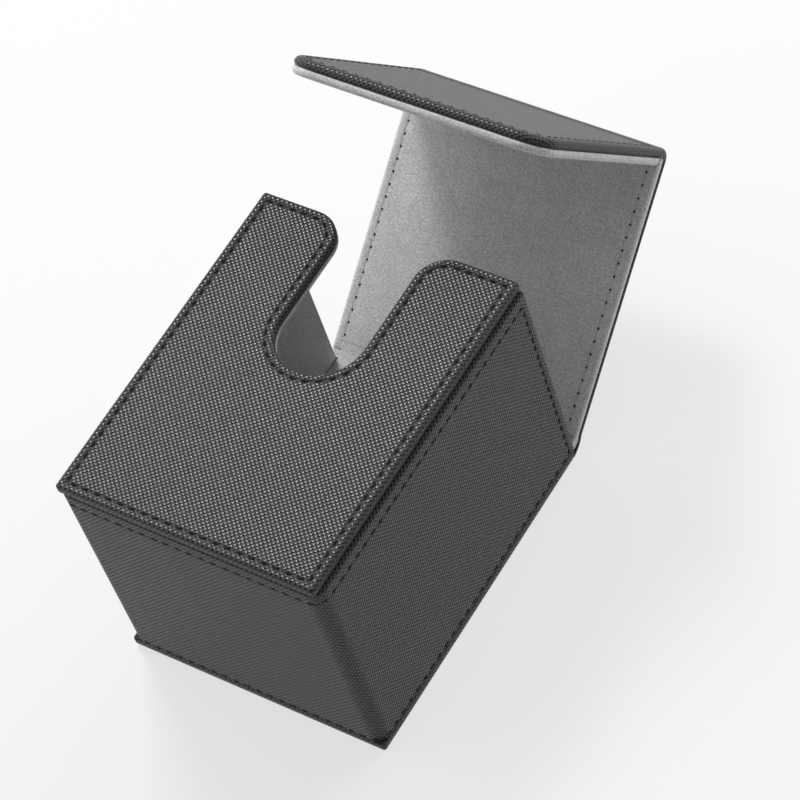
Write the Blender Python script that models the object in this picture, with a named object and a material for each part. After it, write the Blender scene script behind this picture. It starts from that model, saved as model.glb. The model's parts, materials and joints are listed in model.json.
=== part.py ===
"""Card deck box: a wrapped rigid case lying on its back, with a folding magnetic lid.

Frame: +X is the box's width, +Y its height towards the open end, +Z its depth, up from the
surface that the back lies on. The origin is the middle of the back's resting face. Numbers below
are in millimetres and the meshes are made in metres. At rest the lid stands open.
"""

from math import cos, radians, sin

import bmesh
import bpy

MM = 0.001

# Driving dimensions.
BODY_WIDTH = 82.0
FRONT_WIDTH = 80.0
HEIGHT = 102.0
DEPTH = 79.0
RIM_DROP = 0.3  # the side walls' open ends stop this much short of the front panel
WALL = 3.7  # a side wall: cover, board and lining
BACK_EDGE = 3.6  # height of the wrapped edge of the back
FRONT_THICKNESS = 2.8
CORNER_RADIUS = 4.5
SMALL_RADIUS = 1.2
GAP = 0.3  # between pieces that touch
COVER = 0.8
LINING = 0.6
BOARD = 2.0
TURN_IN = 1.0  # a cover's thickness where it is turned down over an edge

NOTCH_RADIUS = 13.0
NOTCH_BOTTOM_Y = 4.4
NOTCH_SHOULDER_RADIUS = 9.0

# The lid: two panels, each a wrapped outer board and a lined inner board.
LID_WIDTH = 80.4
LID_INNER = 1.3  # the hinge axis to a top panel's lined face
LID_OUTER = 3.6  # the hinge axis to its wrapped face
LID_THICKNESS = LID_INNER + LID_OUTER
OUTER_LAYER = 2.5  # wrapped board, with its share of the seam between the two boards
OUTER_BOARD = 1.5
INNER_BOARD = 1.2
HINGE_Y = 52.2
HINGE_Z = 3.6
TOP_START = 1.0
TOP_END = 81.2
FOLD_ALONG = 82.2
FOLD_ACROSS = -2.2
FLAP_START = 3.7
FLAP_END = 74.4
FLAP_CORNER_RADIUS = 9.0
LID_OPEN_ANGLE = 36.0  # the top panel's rise above the resting surface, at rest
FOLD_ANGLE = 92.2  # the turn from top panel to front flap, at rest

MAGNET_RADIUS = 5.0
MAGNET_X = 25.0
MAGNET_FROM_EDGE = 9.0
FRONT_MAGNET_THICKNESS = 1.5
FLAP_MAGNET_THICKNESS = 0.9

THREAD_WIDTH = 0.5
THREAD_PROUD = 0.3
THREAD_LIFT = 0.05
FRONT_STITCH_INSET = 2.4
LID_STITCH_INSET = 3.0
HEM = 4.0  # front edge of the walls to its row of stitches
RIM_HEM = 2.6
SEAM_STITCH_RISE = 0.9
TOP_STITCH_START = 4.0
FLAP_STITCH_START = 4.7

HINGE_BULGE = [(0.0, 0.1), (1.7, 0.3), (3.1, 0.8)]  # the hinge's outer side: past the rim, height
FOLD_BULGE = [(-1.0, 0.3), (-0.3, 1.2), (0.0, 2.6)]  # the fold's outer side, before its furthest reach
HINGE_CREASE = (-0.6, 0.2)  # the lining's crease, from the hinge axis and from the back's lining
BENDING_INSET = 0.5  # the bending covers are this much narrower than the lid at each side

SEPARATOR_SIZE = (71.0, 92.0, 0.8)
SEPARATOR_NOTCH = 8.0
SEPARATOR_RADIUS = 2.4

# Places that follow from them.
HALF_HEIGHT = HEIGHT / 2
HALF_BODY = BODY_WIDTH / 2
RIM_Y = HALF_HEIGHT - RIM_DROP
FRONT_LOW_Z = DEPTH - FRONT_THICKNESS
WALL_TOP_Z = FRONT_LOW_Z - GAP
INNER_HALF_WIDTH = HALF_BODY - WALL
FRONT_LINING_LOW_Z = FRONT_LOW_Z - LINING - GAP
BACK_LINING_LOW_Z = BACK_EDGE + GAP
BACK_LINING_HIGH_Z = BACK_LINING_LOW_Z + LINING
WELL_BOTTOM_Y = -HALF_HEIGHT + WALL
TOP_STITCH_END = FOLD_ALONG + FOLD_ACROSS - LID_INNER - 1.2  # just short of the flap's lining
CLOSED_MAGNET_Y = HINGE_Y - (FLAP_END - MAGNET_FROM_EDGE + FOLD_ACROSS)


def material(name, colour, roughness, metallic=0.0):
    made = bpy.data.materials.new(name)
    made.use_nodes = True
    shader = made.node_tree.nodes["Principled BSDF"]
    shader.inputs["Base Color"].default_value = (*colour, 1.0)
    shader.inputs["Roughness"].default_value = roughness
    shader.inputs["Metallic"].default_value = metallic
    made.diffuse_color = (*colour, 1.0)
    return made


def arc(centre, radius, start, end, steps=6):
    """Points on a circle from one angle to another, in degrees."""
    angles = [radians(start + (end - start) * i / steps) for i in range(steps + 1)]
    return [(centre[0] + radius * cos(a), centre[1] + radius * sin(a)) for a in angles]


def rounded_rectangle(low, high, radii, steps=6):
    """Anticlockwise outline from the low corner; radii follow its corners in that order."""
    (x0, y0), (x1, y1) = low, high
    a, b, c, d = radii
    return (
        arc((x0 + a, y0 + a), a, 180, 270, steps)
        + arc((x1 - b, y0 + b), b, 270, 360, steps)
        + arc((x1 - c, y1 - c), c, 0, 90, steps)
        + arc((x0 + d, y1 - d), d, 90, 180, steps)
    )


def front_outline(inset, side=FRONT_WIDTH / 2, bottom=-HALF_HEIGHT):
    """The front panel with its thumb notch, drawn in from its edge by inset."""
    side -= inset
    bottom += inset
    end = HALF_HEIGHT - inset
    corner = max(SMALL_RADIUS - inset, 0.2)
    notch = NOTCH_RADIUS + inset
    shoulder = NOTCH_SHOULDER_RADIUS - inset
    shoulder_x = notch + shoulder
    notch_y = NOTCH_BOTTOM_Y + NOTCH_RADIUS
    return (
        arc((-side + corner, bottom + corner), corner, 180, 270, 3)
        + arc((side - corner, bottom + corner), corner, 270, 360, 3)
        + arc((side - corner, end - corner), corner, 0, 90, 3)
        + arc((shoulder_x, end - shoulder), shoulder, 90, 180, 8)
        + arc((0, notch_y), notch, 0, -180, 24)
        + arc((-shoulder_x, end - shoulder), shoulder, 0, 90, 8)
        + arc((-side + corner, end - corner), corner, 90, 180, 3)
    )


def u_path(depth, end_y):
    """The walls' path, left rim to right rim by the bottom, a depth in from the outer face."""
    side = HALF_BODY - depth
    low = -HALF_HEIGHT + depth
    radius = max(CORNER_RADIUS - depth, 1.0)
    return (
        [(-side, end_y)]
        + arc((-side + radius, low + radius), radius, 180, 270, 6)
        + arc((side - radius, low + radius), radius, 270, 360, 6)
        + [(side, end_y)]
    )


def u_band(outer_depth, inner_depth, end_y):
    """Outline of a band that follows the three walls between two depths."""
    return u_path(outer_depth, end_y) + u_path(inner_depth, end_y)[::-1]


def stack(loops):
    """A closed mesh through outlines of equal length: [(outline, z), ...], first to last."""
    made = bmesh.new()
    rings = [[made.verts.new((x * MM, y * MM, z * MM)) for x, y in outline] for outline, z in loops]
    for one, two in zip(rings, rings[1:]):
        for i in range(len(one)):
            j = (i + 1) % len(one)
            made.faces.new((one[i], one[j], two[j], two[i]))
    made.faces.new(rings[0][::-1])
    made.faces.new(rings[-1])
    bmesh.ops.recalc_face_normals(made, faces=made.faces)
    return made


def prism(outline, low, high):
    return stack([(outline, low), (outline, high)])


def ring(outer, inner, low, high):
    """A closed band between two outlines of equal length, such as a run of thread."""
    made = bmesh.new()
    loops = [(outer, low), (outer, high), (inner, high), (inner, low)]
    rings = [[made.verts.new((x * MM, y * MM, z * MM)) for x, y in outline] for outline, z in loops]
    for one, two in zip(rings, rings[1:] + rings[:1]):
        for i in range(len(one)):
            j = (i + 1) % len(one)
            made.faces.new((one[i], one[j], two[j], two[i]))
    bmesh.ops.recalc_face_normals(made, faces=made.faces)
    return made


def tray(outline_at, skin, wall, floor, opening):
    """A wrapped skin: a floor of the skin's thickness with walls up to the opening.

    outline_at(inset) gives the outline; the floor's outer edge is rolled over by half the skin.
    """
    rise = 1 if opening > floor else -1
    roll = skin * 0.6
    return stack([
        (outline_at(roll), floor),
        (outline_at(roll * 0.3), floor + rise * roll * 0.3),
        (outline_at(0), floor + rise * roll),
        (outline_at(0), opening),
        (outline_at(wall), opening),
        (outline_at(wall), floor + rise * skin),
    ])


def box(low, high):
    (x0, y0, z0), (x1, y1, z1) = low, high
    return prism([(x0, y0), (x1, y0), (x1, y1), (x0, y1)], z0, z1)


def add(name, made, finish, parent=None):
    mesh = bpy.data.meshes.new(name)
    made.to_mesh(mesh)
    made.free()
    mesh.shade_smooth()
    mesh.set_sharp_from_angle(angle=radians(35))
    mesh.materials.append(finish)
    piece = bpy.data.objects.new(name, mesh)
    piece.parent = parent
    bpy.context.scene.collection.objects.link(piece)
    return piece


def cut(piece, name, made):
    """Cuts a hidden solid out of a piece."""
    cutter = add(name, made, piece.data.materials[0], piece.parent)
    cutter.hide_render = True
    cutter.display_type = "WIRE"
    boolean = piece.modifiers.new(name, "BOOLEAN")
    boolean.operation = "DIFFERENCE"
    boolean.solver = "EXACT"
    boolean.object = cutter


def disc(x, y, radius, low, high):
    return prism(arc((x, y), radius, 0, 345, 23), low, high)


def pivot(name, place, angle, parent=None):
    """An empty on a hinge's axis, turned about +X."""
    made = bpy.data.objects.new(name, None)
    made.parent = parent
    made.location = [value * MM for value in place]
    made.rotation_euler = (radians(angle), 0, 0)
    bpy.context.scene.collection.objects.link(made)
    return made


def back(weave, suede, greyboard):
    side = HALF_BODY

    def outline(inset):
        corner = SMALL_RADIUS - min(inset, TURN_IN)
        low = (-side + inset, -HALF_HEIGHT + inset)
        return rounded_rectangle(low, (side - inset, RIM_Y - inset), [corner] * 4, 4)

    add("back_cover", tray(outline, COVER, TURN_IN, 0, BACK_EDGE), weave)
    inside = TURN_IN + GAP
    low = (-side + inside, -HALF_HEIGHT + inside, COVER + GAP)
    add("back_board", box(low, (side - inside, RIM_Y - inside, BACK_EDGE - GAP)), greyboard)
    half = INNER_HALF_WIDTH - GAP
    low = (-half, WELL_BOTTOM_Y + GAP, BACK_LINING_LOW_Z)
    add("back_lining", box(low, (half, RIM_Y, BACK_LINING_HIGH_Z)), suede)


def walls(weave, suede, greyboard, thread):
    lining_depth = COVER + GAP + BOARD
    base = BACK_EDGE + GAP
    cover = add("body_cover", prism(u_band(0, lining_depth - GAP, RIM_Y), base, WALL_TOP_Z), weave)
    pocket = u_band(COVER, lining_depth + 1, RIM_Y - COVER)
    cut(cover, "body_cover_pocket", prism(pocket, base - 1, WALL_TOP_Z - COVER))

    outer = HALF_BODY - COVER - GAP
    inner = outer - BOARD + GAP
    corner_y = -HALF_HEIGHT + CORNER_RADIUS + GAP
    top_y = RIM_Y - COVER - GAP
    low_z, high_z = base, WALL_TOP_Z - COVER - GAP
    add("left_board", box((-outer, corner_y, low_z), (-inner, top_y, high_z)), greyboard)
    add("right_board", box((inner, corner_y, low_z), (outer, top_y, high_z)), greyboard)
    low_y = -HALF_HEIGHT + COVER + GAP
    corner_x = HALF_BODY - CORNER_RADIUS - GAP
    low = (-corner_x, low_y, low_z)
    add("bottom_board", box(low, (corner_x, low_y + BOARD - GAP, high_z)), greyboard)
    band = u_band(lining_depth, WALL, RIM_Y - GAP)
    add("body_lining", prism(band, base, FRONT_LOW_Z - GAP), suede)

    # One row of stitches runs round the seam, up the rims and round the hem.
    half = THREAD_WIDTH / 2
    low_z, high_z = base + SEAM_STITCH_RISE, WALL_TOP_Z - HEM
    end_y = RIM_Y - RIM_HEM
    band = u_band(-THREAD_PROUD, -THREAD_LIFT, end_y + half)
    row = add("body_stitching", prism(band, low_z - half, high_z + half), thread)
    window = u_band(-THREAD_PROUD - 1, 0.5, end_y - half)
    cut(row, "body_stitching_window", prism(window, low_z + half, high_z - half))


def front(weave, suede, greyboard, steel, thread):
    add("front_cover", tray(front_outline, COVER, TURN_IN, DEPTH, FRONT_LOW_Z), weave)
    high = DEPTH - COVER - GAP
    low = FRONT_LOW_Z
    board = add("front_board", prism(front_outline(TURN_IN + GAP), low, high), greyboard)
    magnet_low = low + (high - low - FRONT_MAGNET_THICKNESS) / 2
    for name, x in (("left", -MAGNET_X), ("right", MAGNET_X)):
        hole = disc(x, CLOSED_MAGNET_Y, MAGNET_RADIUS + GAP, low - 1, high + 1)
        cut(board, f"front_board_{name}_hole", hole)
        slug = disc(x, CLOSED_MAGNET_Y, MAGNET_RADIUS, magnet_low, magnet_low + FRONT_MAGNET_THICKNESS)
        add(f"front_magnet_{name}", slug, steel)

    outline = front_outline(GAP, side=INNER_HALF_WIDTH, bottom=WELL_BOTTOM_Y)
    add("front_lining", prism(outline, FRONT_LINING_LOW_Z, FRONT_LOW_Z - GAP), suede)
    edges = [front_outline(FRONT_STITCH_INSET + s * THREAD_WIDTH / 2) for s in (-1, 1)]
    add("front_stitching", ring(*edges, DEPTH + THREAD_LIFT, DEPTH + THREAD_PROUD), thread)


def panel(name, outline, outer_z, finishes, parent):
    """One lid panel: a wrapped outer board and a lined inner board, back to back."""
    weave, suede, greyboard = finishes
    seam = outer_z + OUTER_LAYER
    inner_z = outer_z + LID_THICKNESS
    inside = TURN_IN + GAP
    board_low = outer_z + COVER + GAP
    inner_low = seam + GAP
    add(f"{name}_cover", tray(outline, COVER, TURN_IN, outer_z, seam), weave, parent)
    add(f"{name}_lining", tray(outline, LINING, TURN_IN, inner_z, inner_low), suede, parent)
    made = prism(outline(inside), board_low, board_low + OUTER_BOARD)
    add(f"{name}_board", made, greyboard, parent)
    made = prism(outline(inside), inner_low, inner_low + INNER_BOARD)
    return add(f"{name}_inner_board", made, greyboard, parent), inner_low


def strip(name, line, thickness, half_width, finish, parent=None):
    """A strip that bends: line is its outer side, drawn in the plane across the hinge."""
    inner = []
    for i, (y, z) in enumerate(line):
        before, after = line[max(i - 1, 0)], line[min(i + 1, len(line) - 1)]
        dy, dz = after[0] - before[0], after[1] - before[1]
        length = (dy * dy + dz * dz) ** 0.5
        inner.append((y - dz / length * thickness, z + dy / length * thickness))
    section = line + inner[::-1]
    made = bmesh.new()
    ends = [
        [made.verts.new((x * MM, y * MM, z * MM)) for y, z in section]
        for x in (-half_width, half_width)
    ]
    for i in range(len(section)):
        j = (i + 1) % len(section)
        made.faces.new((ends[0][i], ends[0][j], ends[1][j], ends[1][i]))
    made.faces.new(ends[0][::-1])
    made.faces.new(ends[1])
    bmesh.ops.recalc_face_normals(made, faces=made.faces)
    add(name, made, finish, parent)


def thread_rows(name, outline, outer_z, thread, parent):
    """The same row of stitches on both faces of a lid panel."""
    inner_z = outer_z + LID_THICKNESS
    outer = prism(outline, outer_z - THREAD_PROUD, outer_z - THREAD_LIFT)
    add(f"{name}_outer", outer, thread, parent)
    inner = prism(outline, inner_z + THREAD_LIFT, inner_z + THREAD_PROUD)
    add(f"{name}_inner", inner, thread, parent)


def lid(finishes, steel, thread):
    top = pivot("lid_hinge_axis", (0, HINGE_Y, HINGE_Z), LID_OPEN_ANGLE)
    flap = pivot("flap_fold_axis", (0, FOLD_ALONG, FOLD_ACROSS), FOLD_ANGLE, top)
    half = LID_WIDTH / 2

    def top_outline(inset):
        corner = SMALL_RADIUS - min(inset, TURN_IN)
        low = (-half + inset, TOP_START + inset)
        return rounded_rectangle(low, (half - inset, TOP_END - inset), [corner] * 4, 4)

    def flap_outline(inset):
        corner = SMALL_RADIUS - min(inset, TURN_IN)
        free = FLAP_CORNER_RADIUS - inset
        low = (-half + inset, FLAP_START + inset)
        return rounded_rectangle(low, (half - inset, FLAP_END - inset), [corner, corner, free, free])

    panel("top", top_outline, -LID_OUTER, finishes, top)
    flap_outer_z = -LID_OUTER - FOLD_ACROSS
    board, inner_low = panel("flap", flap_outline, flap_outer_z, finishes, flap)
    magnet_low = inner_low + (INNER_BOARD - FLAP_MAGNET_THICKNESS) / 2
    magnet_y = FLAP_END - MAGNET_FROM_EDGE
    for name, x in (("left", -MAGNET_X), ("right", MAGNET_X)):
        hole = disc(x, magnet_y, MAGNET_RADIUS + GAP, inner_low - 1, inner_low + INNER_BOARD + 1)
        cut(board, f"flap_board_{name}_hole", hole)
        slug = disc(x, magnet_y, MAGNET_RADIUS, magnet_low, magnet_low + FLAP_MAGNET_THICKNESS)
        add(f"flap_magnet_{name}", slug, steel, flap)

    line = half - LID_STITCH_INSET
    width = THREAD_WIDTH / 2
    for name, x in (("left", -line), ("right", line)):
        row = [
            (x - width, TOP_STITCH_START),
            (x + width, TOP_STITCH_START),
            (x + width, TOP_STITCH_END),
            (x - width, TOP_STITCH_END),
        ]
        thread_rows(f"top_stitching_{name}", row, -LID_OUTER, thread, top)

    def flap_row(inset):
        radius = FLAP_CORNER_RADIUS - inset
        end = FLAP_END - inset
        side = half - inset
        return (
            [(side, FLAP_STITCH_START)]
            + arc((side - radius, end - radius), radius, 0, 90)
            + arc((-side + radius, end - radius), radius, 90, 180)
            + [(-side, FLAP_STITCH_START)]
        )

    row = flap_row(LID_STITCH_INSET - width) + flap_row(LID_STITCH_INSET + width)[::-1]
    thread_rows("flap_stitching", row, flap_outer_z, thread, flap)
    return top


def turned(axis, angle, along, across):
    """A point given along and across a panel that is turned about a hinge axis."""
    return (
        axis[0] + along * cos(angle) - across * sin(angle),
        axis[1] + along * sin(angle) + across * cos(angle),
    )


def bending_strips(weave, suede, top):
    """The cover and lining between the back and the top panel, and the cover round the fold."""
    half = LID_WIDTH / 2 - BENDING_INSET
    axis, angle = (HINGE_Y, HINGE_Z), radians(LID_OPEN_ANGLE)
    start_y = RIM_Y + GAP
    end = turned(axis, angle, TOP_START - GAP, -LID_OUTER)
    outer = [*((start_y + past, height) for past, height in HINGE_BULGE), end]
    strip("hinge_cover", outer, COVER, half, weave)
    end = turned(axis, angle, TOP_START - GAP, LID_INNER - LINING)
    crease = (HINGE_Y + HINGE_CREASE[0], BACK_LINING_LOW_Z + HINGE_CREASE[1])
    inner = [(start_y, BACK_LINING_LOW_Z), crease, end]
    strip("hinge_lining", inner, LINING, INNER_HALF_WIDTH - GAP, suede)

    fold = (FOLD_ALONG, FOLD_ACROSS)
    end = turned(fold, radians(FOLD_ANGLE), FLAP_START - GAP, -LID_OUTER - FOLD_ACROSS)
    reach = end[0]
    low = -LID_OUTER
    bend = [(reach + before, low + rise) for before, rise in FOLD_BULGE]
    strip("fold_cover", [(TOP_END + GAP, low), *bend, end], COVER, half, weave, top)


def separator(plastic):
    width, height, thickness = SEPARATOR_SIZE
    left, right = -width / 2, width / 2
    low = WELL_BOTTOM_Y + 2 * GAP
    high = low + height
    notch, radius = SEPARATOR_NOTCH, SEPARATOR_RADIUS
    r = radius
    outline = (
        arc((left + r, low + r), r, 180, 270)
        + arc((right - notch - r, low + r), r, 270, 360)
        + arc((right - notch + r, low + notch - r), r, 180, 90)
        + arc((right - r, low + notch + r), r, 270, 360)
        + arc((right - r, high - notch - r), r, 0, 90)
        + arc((right - notch + r, high - notch + r), r, 270, 180)
        + arc((right - notch - r, high - r), r, 0, 90)
        + arc((left + notch + r, high - r), r, 90, 180)
        + arc((left + notch - r, high - notch + r), r, 360, 270)
        + arc((left + r, high - notch - r), r, 90, 180)
    )
    base = BACK_LINING_HIGH_Z + GAP
    add("separator_board", prism(outline, base, base + thickness), plastic)


def main():
    for old in list(bpy.data.objects):
        bpy.data.objects.remove(old)
    weave = material("woven_leatherette", (0.105, 0.105, 0.105), 0.62)
    suede = material("grey_suede", (0.33, 0.33, 0.33), 0.95)
    greyboard = material("greyboard", (0.30, 0.29, 0.27), 0.9)
    steel = material("magnet", (0.6, 0.6, 0.6), 0.3, 1.0)
    thread = material("black_thread", (0.01, 0.01, 0.01), 0.8)
    plastic = material("black_plastic", (0.012, 0.012, 0.012), 0.45)
    back(weave, suede, greyboard)
    walls(weave, suede, greyboard, thread)
    front(weave, suede, greyboard, steel, thread)
    top = lid((weave, suede, greyboard), steel, thread)
    bending_strips(weave, suede, top)
    separator(plastic)


main()
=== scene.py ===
# %% [markdown]
# # A wrapped card deck box
# The box is a rigid case: grey board panels wrapped in leatherette with an embossed weave, lined
# with suede, sewn round every edge with black thread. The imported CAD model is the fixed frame, and
# every piece here is laid over it, in the same place and at the same size.

# %% Load the frame
import json
import math

import bpy
import numpy as np
from mathutils import Matrix, Vector


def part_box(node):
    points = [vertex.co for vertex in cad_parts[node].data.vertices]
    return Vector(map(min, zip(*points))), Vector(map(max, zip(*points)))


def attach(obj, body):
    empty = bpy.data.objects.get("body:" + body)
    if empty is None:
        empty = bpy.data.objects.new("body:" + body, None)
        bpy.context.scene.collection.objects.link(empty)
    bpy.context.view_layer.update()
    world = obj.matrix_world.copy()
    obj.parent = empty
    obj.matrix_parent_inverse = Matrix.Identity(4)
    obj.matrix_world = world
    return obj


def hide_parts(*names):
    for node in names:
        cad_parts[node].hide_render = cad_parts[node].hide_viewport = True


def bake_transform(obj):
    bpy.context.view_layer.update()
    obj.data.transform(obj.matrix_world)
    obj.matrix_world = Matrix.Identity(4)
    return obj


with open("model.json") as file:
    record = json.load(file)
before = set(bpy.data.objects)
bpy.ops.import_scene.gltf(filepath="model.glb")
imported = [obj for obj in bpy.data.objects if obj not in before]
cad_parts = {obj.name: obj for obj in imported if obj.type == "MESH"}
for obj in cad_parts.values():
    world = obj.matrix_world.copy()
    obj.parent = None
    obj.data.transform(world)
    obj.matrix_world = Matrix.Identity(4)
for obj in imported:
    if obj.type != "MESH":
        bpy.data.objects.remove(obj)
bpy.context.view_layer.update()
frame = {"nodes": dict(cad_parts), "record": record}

# %% [markdown]
# ## Sizes
# Everything is worked out in millimetres and scaled to metres once, when a mesh is made. The outer
# sizes are read from the frame's own nodes. The few radii that a box can't tell, such as the thumb
# notch, are written out here.

# %% Sizes
MM = 0.001


def span(node):
    """A CAD node's lowest and highest corner, in millimetres, as two arrays."""
    return [np.array(corner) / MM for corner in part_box(node)]


front_low, front_high = span("front_cover")
body_low, body_high = span("body_cover")
back_low, back_high = span("back_cover")
FRONT_SIDE = front_high[0]
HALF_HEIGHT = front_high[1]
DEPTH = front_high[2]
FRONT_LOW_Z = front_low[2]
BODY_SIDE = body_high[0]
RIM_Y = body_high[1]
WALL_LOW_Z, WALL_TOP_Z = body_low[2], body_high[2]
BACK_EDGE = back_high[2]
WALL_DEPTH = 2.95
LINING_DEPTH = 3.7
EDGE_RADIUS = 0.9
BODY_CORNER_RADIUS = 4.5
NOTCH_RADIUS = 13.0
NOTCH_BOTTOM_Y = 4.4
SHOULDER_RADIUS = 9.0
print("front", front_low, front_high, "walls", body_low, body_high, "back", back_low, back_high)

# %% [markdown]
# The lid is built flat and then turned into place. `place_top` takes a place along and across the
# top panel, and `place_flap` one along and across the front flap, which hangs from the top panel's
# fold. So every size of the lid is a plain number, whatever angle the lid stands at.

# %% Lid frames
HINGE = np.array([52.2, 3.6])
LID_DEGREES = 36.0
LID_ANGLE = math.radians(LID_DEGREES)
FOLD = np.array([82.2, -2.2])
FOLD_ANGLE = math.radians(92.2)
LID_SIDE = 40.2
TOP_START, TOP_END = 1.0, 81.2
FLAP_START, FLAP_END = 3.7, 74.4
TOP_OUTER, TOP_INNER = -3.6, 1.3
FLAP_OUTER, FLAP_INNER = -1.4, 3.5
LID_THICKNESS = TOP_INNER - TOP_OUTER
SEAM_RISE = 2.5
FREE_CORNER_RADIUS = 9.0


def turn(along, across, angle, origin):
    """A point turned about an axis: origin plus along times (cos, sin) plus across times (-sin, cos)."""
    along, across = np.asarray(along, float), np.asarray(across, float)
    return np.stack([
        origin[0] + along * math.cos(angle) - across * math.sin(angle),
        origin[1] + along * math.sin(angle) + across * math.cos(angle),
    ], -1)


def fold_point(along, across):
    """A place in the flap's frame, given in the top panel's."""
    return turn(along, across, FOLD_ANGLE, FOLD)


def place_box(points):
    """Points of the box itself are already where they belong."""
    return points


def place_top(points):
    """(x, along, across) of the top panel to (x, y, z)."""
    yz = turn(points[..., 1], points[..., 2], LID_ANGLE, HINGE)
    return np.concatenate([points[..., :1], yz], -1)


def place_flap(points):
    """(x, along, across) of the flap to (x, y, z), by way of the top panel."""
    sn = fold_point(points[..., 1], points[..., 2])
    return place_top(np.concatenate([points[..., :1], sn], -1))


print("fold axis at", place_top(np.array([0.0, *FOLD])).round(2))

# %% [markdown]
# ## Shaders shared by several finishes
# Three effects are used again and again, so each is a node group with named sockets: the embossed
# weave, the suede's nap, and a slow unevenness that no real sheet is without. A group puts out only
# heights and masks. What they do to the colour or to the gloss is decided in each material.

# %% Node helpers


def add_node(tree, kind, inputs=(), **settings):
    """Adds a node, sets its properties, then sets or links each input given as {socket: value}."""
    made = tree.nodes.new(kind)
    for name, value in settings.items():
        setattr(made, name, value)
    for socket, value in dict(inputs).items():
        if isinstance(value, bpy.types.NodeSocket):
            tree.links.new(value, made.inputs[socket])
        else:
            made.inputs[socket].default_value = value
    return made


def maths(tree, operation, a, b=0.0, c=0.0, clamp=False):
    """One sum; c counts only where the operation takes three numbers."""
    inputs = {0: a, 1: b, 2: c}
    return add_node(tree, "ShaderNodeMath", inputs, operation=operation, use_clamp=clamp).outputs[0]


def noise(tree, vector, scale, detail, **more):
    """A noise texture; every setting may be a number or a socket."""
    inputs = {"Vector": vector, "Scale": scale, "Detail": detail, **more}
    return add_node(tree, "ShaderNodeTexNoise", inputs)


def new_group(name, inputs, outputs):
    """A shader group with float inputs {name: default}, a Vector first, and float outputs."""
    made = bpy.data.node_groups.new(name, "ShaderNodeTree")
    made.interface.new_socket("Vector", in_out="INPUT", socket_type="NodeSocketVector")
    for label, value in inputs.items():
        socket = made.interface.new_socket(label, in_out="INPUT", socket_type="NodeSocketFloat")
        socket.default_value = value
    for label in outputs:
        made.interface.new_socket(label, in_out="OUTPUT", socket_type="NodeSocketFloat")
    return made, made.nodes.new("NodeGroupInput").outputs, made.nodes.new("NodeGroupOutput").inputs


# %% [markdown]
# The leatherette is embossed with small raised dots in diagonal rows. Real dots would need millions
# of faces, and an image would need a file, so two crossed waves are multiplied: their tops fall in
# a five-spot pattern. A little noise moves and raises the dots unevenly, as embossing does.

# %% Weave group
WEAVE_PERIOD = 1.49


def make_weave():
    """cos(2 pi u / period) cos(2 pi v / period), so the dots stand in a five-spot pattern; two smooth
    steps of it give the height, whose tops are flat, and the mask of the dots."""
    tree, given, out = new_group("Embossed weave", {"Period": WEAVE_PERIOD, "Wander": 0.05},
                                 ("Height", "Dots"))
    wander = noise(tree, given["Vector"], 0.9, 1.0)
    centred = add_node(tree, "ShaderNodeVectorMath", {0: wander.outputs["Color"], 1: (0.5, 0.5, 0.5)},
                       operation="SUBTRACT").outputs[0]
    wandered = add_node(tree, "ShaderNodeVectorMath", {0: centred, "Scale": given["Wander"]},
                        operation="SCALE")
    moved = add_node(tree, "ShaderNodeVectorMath", {0: given["Vector"], 1: wandered.outputs[0]},
                     operation="ADD")
    parts = add_node(tree, "ShaderNodeSeparateXYZ", {0: moved.outputs[0]})
    turns = maths(tree, "DIVIDE", 2 * math.pi, given["Period"])
    waves = [maths(tree, "COSINE", maths(tree, "MULTIPLY", parts.outputs[i], turns)) for i in (0, 1)]
    height = maths(tree, "MULTIPLY", *waves)
    uneven = noise(tree, given["Vector"], 1.3, 0.0)
    level = maths(tree, "MULTIPLY_ADD", uneven.outputs[0], 0.2, -0.1)
    raised = maths(tree, "ADD", height, level)
    for socket, low, high in (("Height", -0.9, 0.5), ("Dots", 0.15, 0.6)):
        step = add_node(tree, "ShaderNodeMapRange", {"Value": raised, "From Min": low, "From Max": high},
                        interpolation_type="SMOOTHSTEP")
        tree.links.new(step.outputs[0], out[socket])
    return tree


# %% [markdown]
# Suede is a pile of short fibres. From near it is a fine grain; from far one sees strokes, where the
# pile lies this way or that. The drift is slower still: no sheet is equally dark all over. All three
# come from noise in a panel's own space, so they stay put when the lid moves.

# %% Nap and unevenness groups


def make_nap():
    """Fine crossing noises: short fibres, and the lighter and darker strokes left in the pile."""
    tree, given, out = new_group("Suede nap", {"Fibre": 2000.0, "Stroke": 160.0}, ("Fibres", "Strokes"))
    fibres = noise(tree, given["Vector"], given["Fibre"], 4.0, Roughness=0.7)
    strokes = noise(tree, given["Vector"], given["Stroke"], 5.0, Roughness=0.65, Distortion=0.4)
    tree.links.new(fibres.outputs[0], out["Fibres"])
    tree.links.new(strokes.outputs[0], out["Strokes"])
    return tree


def make_drift():
    """A slow change over the surface, from 0 to 1."""
    tree, given, out = new_group("Slow drift", {"Size": 30.0}, ("Drift",))
    slow = noise(tree, given["Vector"], given["Size"], 3.0)
    spread = add_node(tree, "ShaderNodeMapRange",
                      {"Value": slow.outputs[0], "From Min": 0.3, "From Max": 0.7})
    tree.links.new(spread.outputs[0], out["Drift"])
    return tree


weave_group, nap_group, drift_group = make_weave(), make_nap(), make_drift()
print("groups", [g.name for g in bpy.data.node_groups])

# %% [markdown]
# ## Finishes
# Each finish is a Principled shader. The weave follows the piece's own UV map, measured in
# millimetres, so that it runs over a rolled edge without a break. Two numbers stored on the
# vertices steer it: `edge` grows where the sheet is pulled round an edge and its weave flattens,
# and `press` where a row of stitches pulls it down. Both also darken the colour: round the edges
# this is painted shade, and along the stitches the sheet is simply made darker. The dots' tops are
# glossier than the ground between them, so under a lamp they sparkle and from the side they fade,
# as on the real sheet.

# %% Leatherette


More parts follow.
